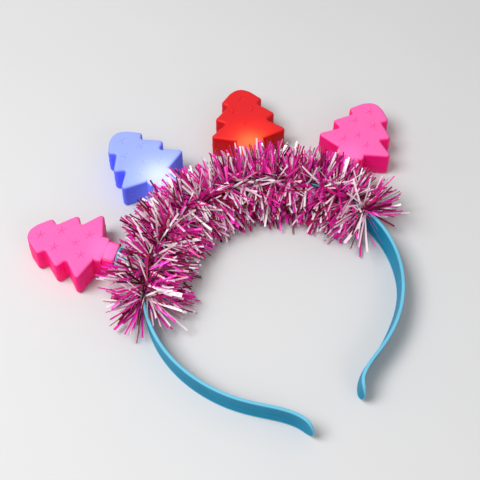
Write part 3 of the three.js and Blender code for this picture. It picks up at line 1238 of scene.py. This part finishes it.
@dataclass
class Lamp:
    """A domed lamp on a flange.

    Args:
        start: Where its flange starts.
        flange_radius: Radius of the flange.
        flange_height: Height of the flange.
        radius: Radius of the body and its dome.
        length: Length with the dome.
        dome_steps: Points on the dome's arc.
        sides: Steps in its turn.
    """

    start: float = 19.3 * MM
    flange_radius: float = 2.9 * MM
    flange_height: float = 1 * MM
    radius: float = 2.5 * MM
    length: float = 8.7 * MM
    dome_steps: int = 9
    sides: int = 32

    def centre(self) -> float:
        """Where the dome's centre lies."""
        return self.start + self.length - self.radius

    def surface(self) -> Surface:
        """Flange, straight body and half-round dome, turned about the tree's axis.

        Returns:
            The lamp's surface.
        """
        angle = np.linspace(pi / 2, 0, self.dome_steps)
        dome = np.stack([self.radius * np.sin(angle), self.centre() + self.radius * np.cos(angle)], axis=1)
        flange_top = self.start + self.flange_height
        foot = np.array([
            [0, self.start],
            [self.flange_radius, self.start],
            [self.flange_radius, flange_top],
            [self.radius, flange_top],
        ])
        profile = np.concatenate([foot, dome])
        dome = smoothstep(flange_top, self.centre(), profile[:, 1])
        return Surface.turned(profile, self.sides, dome=dome)


class TreeKind(Enum):
    """The plastics that the trees are moulded in."""

    PINK = "pink_tree_plastic"
    BLUE = "blue_tree_plastic"
    RED = "red_tree_plastic"


@dataclass(frozen=True)
class TreeSpot:
    """A tree's node, the end of its socket's and lamp's names, its place, and its plastic.

    Args:
        node: Name of the tree's node.
        stem: End of the names of its socket and lamp.
        arc: Distance of its foot from the crown, left negative.
        foot: How far its foot is out from the band's middle line.
        lean: Lean from the band's normal in degrees.
        kind: Which plastic it is; not used.
        finish: Its look.
        tinsel: Its share of the strips that stand beside the stems.
        cover: How far out from the band strips lie over its stem at most.
    """

    node: str
    stem: str
    arc: float
    foot: float
    lean: float
    kind: TreeKind
    finish: TreePlastic
    tinsel: float = 1.0
    cover: float = 40 * MM


def pink(name: str, power: float) -> TreePlastic:
    """Pink tree plastic with a lamp of some strength.

    Args:
        name: Name of the finish.
        power: Strength of the lamp's glow.

    Returns:
        The finish.
    """
    return TreePlastic(
        name,
        deep=srgb(250, 8, 124),
        face=srgb(250, 104, 178),
        glow=(
            (0.0, srgb(40, 0, 10)),
            (0.4, srgb(80, 0, 24)),
            (0.6, srgb(140, 10, 56)),
            (0.78, srgb(250, 130, 185)),
        ),
        reach=28 * MM,
        power=power,
        stars=0.4,
    )


TREE_SPOTS = (
    TreeSpot(
        node="pink_tree_left",
        stem="pink_left",
        arc=-60.9 * MM,
        foot=-0.6 * MM,
        lean=0.7,
        kind=TreeKind.PINK,
        finish=pink("pink_plastic_left", power=0.45),
        tinsel=0.3,
        cover=17 * MM,
    ),
    TreeSpot(
        node="blue_tree",
        stem="blue",
        arc=-20.4 * MM,
        foot=-0.2 * MM,
        lean=3.5,
        kind=TreeKind.BLUE,
        finish=TreePlastic(
            "blue_plastic",
            deep=srgb(92, 108, 250),
            face=srgb(155, 172, 242),
            glow=(
                (0.0, srgb(10, 14, 90)),
                (0.3, srgb(44, 54, 130)),
                (0.5, srgb(110, 122, 190)),
                (0.64, srgb(180, 190, 230)),
                (0.8, srgb(255, 255, 255)),
            ),
            reach=32 * MM,
            power=0.58,
            stars=0.05,
        ),
    ),
    TreeSpot(
        node="red_tree",
        stem="red",
        arc=20.5 * MM,
        foot=0.5 * MM,
        lean=-0.5,
        kind=TreeKind.RED,
        finish=TreePlastic(
            "red_plastic",
            deep=srgb(204, 2, 16),
            face=srgb(220, 38, 42),
            glow=(
                (0.0, srgb(40, 0, 2)),
                (0.3, srgb(80, 0, 3)),
                (0.5, srgb(160, 30, 8)),
                (0.64, srgb(225, 90, 26)),
                (0.8, srgb(255, 180, 100)),
            ),
            reach=30 * MM,
            power=0.62,
            stars=0.35,
        ),
    ),
    TreeSpot(
        node="pink_tree_right",
        stem="pink_right",
        arc=61.5 * MM,
        foot=1.2 * MM,
        lean=-5.1,
        kind=TreeKind.PINK,
        finish=pink("pink_plastic_right", power=0.3),
    ),
)


@dataclass
class TreeRow:
    """The four trees with their sockets and lamps, standing out from the band.

    Args:
        path: The band's middle line.
        tree: The tree that each spot repeats.
        socket: The socket that each spot repeats.
        lamp: The lamp that each spot repeats.
    """

    path: BandPath
    tree: Tree = field(default_factory=Tree)
    socket: Socket = field(default_factory=Socket)
    lamp: Lamp = field(default_factory=Lamp)

    def stand(self, spot: TreeSpot) -> Stand:
        """Where a tree stands.

        Args:
            spot: The tree's place along the band and its lean.

        Returns:
            Its stand.
        """
        place = self.path.at(np.array([spot.arc]))
        origin = place.middle[0] + spot.foot * place.outward[0]
        origin[2] = self.tree.thickness / 2
        return Stand(origin, -place.heading[0] - radians(spot.lean))

    def build(self, band_finish: bpy.types.Material) -> None:
        """Make every tree, socket and lamp.

        Args:
            band_finish: The band's plastic, which the sockets have too.
        """
        tree, lamp = self.tree.surface(), self.lamp.surface()
        lens = LampLens().make()
        for spot in TREE_SPOTS:
            stand = self.stand(spot)
            glow = Vector(stand.out(np.array([0, self.lamp.centre(), 0])))
            plastic = spot.finish.make(glow)
            make_piece(f"{spot.node}_figure", stand.set_out(tree), plastic, spot.node)
            node = f"socket_{spot.stem}"
            cup = stand.set_out(self.socket.surface(spot.foot))
            make_piece(f"{node}_cup", cup, band_finish, node)
            node = f"led_{spot.stem}"
            make_piece(f"{node}_lens", stand.set_out(lamp), lens, node)


# Tinsel


class Tint(Enum):
    """The shades of foil in the garland."""

    MAGENTA = "magenta"
    PALE = "pale"
    CRIMSON = "crimson"


FOILS = {
    Tint.MAGENTA: Foil("foil_magenta", srgb(205, 0, 110), srgb(255, 50, 205), metal=0.25, share=0.46),
    Tint.PALE: Foil("foil_pale", srgb(242, 196, 218), srgb(255, 252, 254), metal=0.1, share=0.34),
    Tint.CRIMSON: Foil("foil_crimson", srgb(46, 0, 20), srgb(170, 6, 72), metal=0.4, share=0.2),
}


@dataclass(frozen=True)
class Tuft:
    """Strips with like roots and directions; angles run from outward over the top to inward, in degrees.

    Args:
        count: Number of strips tried; those that would cut a tree or its stem are left out.
        climb: Lowest and highest direction of the roots.
        aim: Lowest and highest direction of the strips.
        tilt: Spread of the strips' tilt along the band.
        stems: Whether the strips stand only beside the trees' stems.
    """

    count: int
    climb: Pair
    aim: Pair
    tilt: float
    stems: bool = False


TUFTS = (
    Tuft(620, (70, 106), (2, 60), 24),
    Tuft(620, (74, 110), (160, 206), 24),
    Tuft(700, (-78, 60), (-35, 50), 22),
    Tuft(560, (120, 255), (160, 212), 20),
    Tuft(420, (60, 120), (40, 155), 60),
    Tuft(340, (70, 96), (4, 36), 17, stems=True),
)


@dataclass
class Garland:
    """Narrow foil strips that stand out all round the band's crown from a thread wound round it.

    Args:
        path: The band's middle line.
        trees: The trees, which the strips pass by.
        end: How far the garland runs along each arm.
        turns: Number of turns of the thread.
        turn_steps: Points on each turn.
        thread_radius: Radius of the thread.
        thread_sides: Number of its sides.
        thread_waves: How often its shade goes up and down, in radians each way from the crown.
        thread_tip: Which place along a strip its colour is that of, and so how much painted root shade it
            has.
        ridge_radius: Radius of the straight thread on the band's upper edge.
        reach: Shortest and longest distance of a tip from the band's middle line.
        stray: Share of strips that reach further, and by how much at most.
        splay: How far the strips lean along the band at its left and right end, in degrees.
        splay_start: Share of the way to an end where that starts.
        splay_share: Share of the lean that a strip has at most.
        scatter: Spread of the roots along the thread, in turns.
        bend: Spread of a strip's bend at its tip.
        slump: How far the tip of a strip that lies on the floor stands off it at most.
        steps: Points on a strip's middle line that are kept clear, every second of which its mesh has.
        twist: Spread of a strip's twist, in radians.
        stem_room: How far to each side of a stem the strips count as beside it or over it.
        width: Width of a strip.
        widths: Smallest and largest share of that width.
        broad: Share of the strips that are broader, and by what share of their width.
        gauge: Thickness of a strip, with its creases.
        room: Gap between a strip's middle line and a tree or its stem.
        hug: Distance of the roots from the band's section.
        floor: Height under which no strip's middle line goes, nor the thread.
        seed: Seed of the strips' random directions.
    """

    path: BandPath
    trees: TreeRow
    end: float = 84 * MM
    turns: int = 19
    turn_steps: int = 40
    thread_radius: float = 0.7 * MM
    thread_sides: int = 8
    thread_waves: float = 40
    thread_tip: float = 0.2
    ridge_radius: float = 0.55 * MM
    reach: Pair = (17 * MM, 25.5 * MM)
    stray: Pair = (0.05, 5 * MM)
    splay: Pair = (62, 30)
    splay_start: float = 0.84
    splay_share: float = 1.2
    scatter: float = 0.13
    bend: float = 0.9 * MM
    slump: float = 1.5 * MM
    steps: int = 9
    twist: float = 0.6
    stem_room: float = 10 * MM
    width: float = 1.0 * MM
    widths: Pair = (0.75, 1.15)
    broad: Pair = (0.05, 0.9)
    gauge: float = 0.14 * MM
    room: float = 0.25 * MM
    hug: float = 0.9 * MM
    floor: float = 0.4 * MM
    seed: int = 11

    def root(self, climb: np.ndarray) -> np.ndarray:
        """Where a direction leaves the band's section: the ray over its larger share of the half-sizes.

        Args:
            climb: Directions from outward over the top to inward, in radians.

        Returns:
            Outward and upward distances from the section's middle.
        """
        ray = np.stack([np.cos(climb), np.sin(climb)], axis=-1)
        size = np.array([Headband.thickness, self.path.width]) / 2 + self.hug
        return ray / (np.abs(ray) / size).max(axis=-1, keepdims=True)

    def spines(self, tuft: Tuft, random: np.random.Generator) -> np.ndarray:
        """Middle lines of a tuft's strips that are clear of the trees.

        A root lies on the thread, at the turn nearest to a random place. From it the strip runs straight,
        with a little bend that grows as s^2, to the length that brings its tip to a random distance R from
        the band's middle line: -r.d + sqrt((r.d)^2 + R^2 - r.r) for a root r and a direction d. It lies down
        on the floor where it would pass through it.

        Args:
            tuft: The strips' roots and directions.
            random: Source of the directions.

        Returns:
            Points by strip, ring and axis.
        """
        n = tuft.count
        climb = random.uniform(*tuft.climb, n)
        place = random.uniform(-self.end, self.end, n)
        if tuft.stems:
            feet = np.array([spot.arc for spot in TREE_SPOTS])
            shares = np.array([spot.tinsel for spot in TREE_SPOTS])
            place = random.choice(feet, n, p=shares / shares.sum())
            place += random.uniform(-self.stem_room, self.stem_room, n)
        pitch = 2 * self.end / self.turns
        turn = np.round(place / pitch - climb / 360) + climb / 360
        arc = np.clip((turn + random.normal(0, self.scatter, n)) * pitch, -self.end, self.end)
        root = self.root(np.radians(climb))
        aim = np.radians(random.uniform(*tuft.aim, n))
        splay = np.where(arc < 0, -self.splay[0], self.splay[1])
        splay = splay * smoothstep(self.splay_start * self.end, self.end, np.abs(arc))
        tilt = np.radians(random.normal(0, tuft.tilt, n) + splay * random.uniform(0, self.splay_share, n))
        reach = random.uniform(*self.reach, n)
        reach += self.stray[1] * random.random(n) * (random.random(n) < self.stray[0])
        heading = np.stack([np.cos(aim), np.sin(aim)], axis=1)
        inner = (root * heading).sum(axis=1)
        length = -inner + np.sqrt(inner**2 + reach**2 - (root**2).sum(axis=1))
        share = np.linspace(0, 1, self.steps)
        run = length[:, None] * share
        bend = random.normal(0, self.bend, (n, 3, 1)) * share**2
        across = root[:, :1] + run * heading[:, :1] * np.cos(tilt)[:, None] + bend[:, 0]
        up = root[:, 1:] + run * heading[:, 1:] * np.cos(tilt)[:, None] + bend[:, 1]
        ahead = run * np.sin(tilt)[:, None] + bend[:, 2]
        spot = self.path.at(arc)
        points = spot.middle[:, None, :] + across[..., None] * spot.outward[:, None, :]
        points += ahead[..., None] * spot.along[:, None, :]
        points[..., 2] += up
        rest = self.floor + self.slump * random.random((n, 1)) * share
        points[..., 2] = np.maximum(points[..., 2], rest)
        clear = np.ones(n, dtype=bool)
        for row in TREE_SPOTS:
            near = self.trees.stand(row).back(points)
            over = (np.abs(near[..., 0]) < self.stem_room) & (near[..., 1] > row.cover)
            clear &= ~(over | self.trees.tree.holds(near, self.room)).any(axis=1)
        return points[clear, ::2]

    def ribbons(self, spines: np.ndarray, random: np.random.Generator) -> Surface:
        """Closed flat strips along middle lines: a lens of four points carried along each, slowly twisting.

        A lens that would pass through the floor is lifted onto it.

        Args:
            spines: Points by strip, ring and axis.
            random: Source of the widths, twists and shades.

        Returns:
            All the strips as one surface.
        """
        n, rings = spines.shape[:2]
        ahead = unit(np.gradient(spines, axis=1))
        first = unit(np.cross(ahead, random.normal(size=(n, 1, 3))))
        second = np.cross(ahead, first)
        twist = (random.normal(0, self.twist, (n, 1)) * np.linspace(0, 1, rings))[..., None]
        flat = np.cos(twist) * first + np.sin(twist) * second
        thin = np.cos(twist) * second - np.sin(twist) * first
        broad = 1 + self.broad[1] * (random.random((n, 1, 1)) < self.broad[0])
        half = self.width * broad * random.uniform(*self.widths, (n, 1, 1)) / 2
        lens = [flat * half, thin * self.gauge / 2, -flat * half, -thin * self.gauge / 2]
        points = spines[:, :, None, :] + np.stack(lens, axis=2)
        points[..., 2] += np.maximum(0, -points[..., 2].min(axis=2, keepdims=True))
        one = Surface.grid(np.zeros((rings, 4, 3)), around=True).faces
        caps = np.array([[3, 2, 1, 0], np.arange(4) + 4 * (rings - 1)])
        faces = np.concatenate([one, caps]) + 4 * rings * np.arange(n)[:, None, None]
        shade = np.repeat(random.random(n), 4 * rings)
        # The "tip" mark runs from 0 at the root to 1 at the tip, for the painted shade at the roots.
        tip = np.tile(np.repeat(np.linspace(0, 1, rings), 4), n)
        return Surface(points.reshape(-1, 3), faces.reshape(-1, 4), {"shade": shade, "tip": tip})

    def tube(self, centre: np.ndarray, beside: np.ndarray, radius: float) -> Surface:
        """A round tube along a line, closed at both ends.

        Args:
            centre: Points of the line.
            beside: A direction at each point that isn't the line's own.
            radius: Radius of the tube.

        Returns:
            The tube, with its shade going up and down along it.
        """
        ahead = unit(np.gradient(centre, axis=0))
        first = unit(np.cross(ahead, beside))
        second = np.cross(ahead, first)
        angle = np.arange(self.thread_sides) * tau / self.thread_sides
        ring = np.cos(angle)[:, None] * first[:, None, :] + np.sin(angle)[:, None] * second[:, None, :]
        points = centre[:, None, :] + radius * ring
        ends = centre[[0, -1]][:, None, :] + 0 * ring[:2]
        shade = 0.5 + 0.5 * np.sin(np.linspace(-self.thread_waves, self.thread_waves, len(centre)))
        shade = np.concatenate([shade[:1], shade, shade[-1:]])[:, None]
        closed = np.concatenate([ends[:1], points, ends[1:]])
        return Surface.grid(closed, around=True, shade=shade, tip=self.thread_tip)

    def thread(self) -> Surface:
        """The foil thread, wound round the band in a spiral, and a straight one on its upper edge.

        Returns:
            Both threads as one surface.
        """
        share = np.linspace(-1, 1, self.turn_steps * self.turns + 1)
        place = self.path.at(self.end * share)
        wound = self.root(pi * self.turns * share)
        spiral = place.middle + wound[:, :1] * place.outward
        spiral[:, 2] = np.maximum(spiral[:, 2] + wound[:, 1], self.thread_radius + self.floor)
        ridge = place.middle + [0, 0, self.path.width / 2 + self.hug + self.ridge_radius / 2]
        return Surface.joined([
            self.tube(spiral, place.along, self.thread_radius),
            self.tube(ridge, place.outward, self.ridge_radius),
        ])

    def build(self) -> None:
        """Make the thread and the strips, a piece for each shade of foil."""
        random = np.random.default_rng(self.seed)
        spines = np.concatenate([self.spines(tuft, random) for tuft in TUFTS])
        edges = np.cumsum([FOILS[tint].share for tint in Tint])
        kind = np.searchsorted(edges, random.random(len(spines)) * edges[-1])
        finishes = {tint: foil.make() for tint, foil in FOILS.items()}
        for number, tint in enumerate(Tint):
            strips = self.ribbons(spines[kind == number], random)
            name = f"tinsel_strips_{tint.value}"
            make_piece(name, strips, finishes[tint], "tinsel_garland")
        make_piece("tinsel_thread", self.thread(), finishes[Tint.CRIMSON], "tinsel_garland")


# The studio


@dataclass
class Softbox:
    """A square lamp that faces a point.

    Args:
        name: Its name.
        place: Where it stands.
        size: Length of its sides.
        power: Its power in watts.
    """

    name: str
    place: tuple[float, float, float]
    size: float
    power: float

    def build(self, target: Vector) -> None:
        """Hang the lamp.

        Args:
            target: The point that it faces.
        """
        light = bpy.data.lights.new(self.name, "AREA")
        light.shape = "SQUARE"
        light.size = self.size
        light.energy = self.power
        lamp = bpy.data.objects.new(self.name, light)
        lamp.location = self.place
        lamp.rotation_mode = "QUATERNION"
        lamp.rotation_quaternion = (target - Vector(self.place)).to_track_quat("-Z", "Y")
        bpy.context.scene.collection.objects.link(lamp)


SOFTBOXES = (
    Softbox("key", place=(-0.58, 0.1, 0.95), size=0.6, power=11.0),
    Softbox("fill", place=(0.1, -0.9, 0.6), size=0.5, power=1.4),
)


@dataclass
class Studio:
    """A pale floor, soft light and a camera at the picture's angle.

    Args:
        path: The band's middle line, whose crown the camera is aimed from.
        aim: What the camera looks at, from the crown.
        azimuth: Turn of the view from +Y towards +X in degrees.
        elevation: How far the camera looks down in degrees.
        roll: Turn of the picture about its middle in degrees.
        distance: Distance of the camera from what it looks at.
        lens: Focal length on the sensor, in millimetres.
        sensor: Width of the sensor in millimetres.
        nearest: Distance from which the camera sees.
        ambient: Strength of the room's even light.
        half: Half the length of the floor's sides.
        dull: Colour of the floor's darker clouds.
        pale: Colour of its lighter ones.
        clouds: Its clouds to a metre.
        rough: Its roughness, and what the clouds add to it.
    """

    path: BandPath
    aim: tuple[float, float, float] = (-4.41 * MM, -29.6 * MM, 7 * MM)
    azimuth: float = 27.15
    elevation: float = 54.0
    roll: float = 0.26
    distance: float = 576 * MM
    lens: float = 82.08
    sensor: float = 36.0
    nearest: float = 0.01
    ambient: float = 0.42
    half: float = 2.0
    dull: Colour = (0.64, 0.64, 0.65)
    pale: Colour = (0.68, 0.68, 0.68)
    clouds: float = 8
    rough: Pair = (0.7, 0.1)

    def camera(self) -> Vector:
        """Set up the camera.

        Returns:
            The point that it looks at.
        """
        target = Vector(self.aim) + Vector((*self.path.shift, 0))
        a, e = radians(self.azimuth), radians(self.elevation)
        forward = Vector((sin(a) * cos(e), cos(a) * cos(e), -sin(e)))
        data = bpy.data.cameras.new("camera")
        data.sensor_width = self.sensor
        data.lens = self.lens
        data.clip_start = self.nearest
        camera = bpy.data.objects.new("camera", data)
        turn = forward.to_track_quat("-Z", "Y").to_matrix() @ Matrix.Rotation(radians(self.roll), 3, "Z")
        camera.matrix_world = Matrix.Translation(target - forward * self.distance) @ turn.to_4x4()
        bpy.context.scene.collection.objects.link(camera)
        bpy.context.scene.camera = camera
        return target

    def floor(self) -> None:
        """Lay a pale floor with a faint mottle."""
        paint = Paint("floor_paper")
        cloud = paint.noise(self.clouds, CLOUD_DETAIL)
        finish = paint.wear({
            "Base Color": paint.mix(cloud, self.dull, self.pale),
            "Roughness": cloud.vary(self.rough),
        })
        corner = np.array([-self.half, self.half])
        x, y = np.meshgrid(corner, corner)
        sheet = Surface.grid(np.stack([x, y, 0 * x], axis=-1))
        mesh = bpy.data.meshes.new("floor")
        mesh.from_pydata(sheet.points, [], sheet.faces)
        mesh.materials.append(finish)
        floor = bpy.data.objects.new("floor", mesh)
        bpy.context.scene.collection.objects.link(floor)

    def world(self) -> None:
        """Fill the room with even light."""
        world = bpy.data.worlds.new("room")
        world.use_nodes = True
        back = next(node for node in world.node_tree.nodes if node.type == "BACKGROUND")
        back.inputs["Color"].default_value = (1.0, 1.0, 1.0, 1.0)
        back.inputs["Strength"].default_value = self.ambient
        bpy.context.scene.world = world

    def build(self) -> None:
        """Set up the floor, the light and the camera."""
        bpy.context.scene.view_settings.view_transform = "Standard"
        target = self.camera()
        self.floor()
        self.world()
        for box in SOFTBOXES:
            box.build(target)


def main() -> None:
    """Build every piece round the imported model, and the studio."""
    logging.basicConfig(level=logging.INFO, format="%(name)s: %(message)s")
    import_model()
    path = BandPath()
    band_finish = BandPlastic().make()
    Headband(path).build(band_finish)
    trees = TreeRow(path)
    trees.build(band_finish)
    Garland(path, trees).build()
    Studio(path).build()


if __name__ == "__main__":
    main()
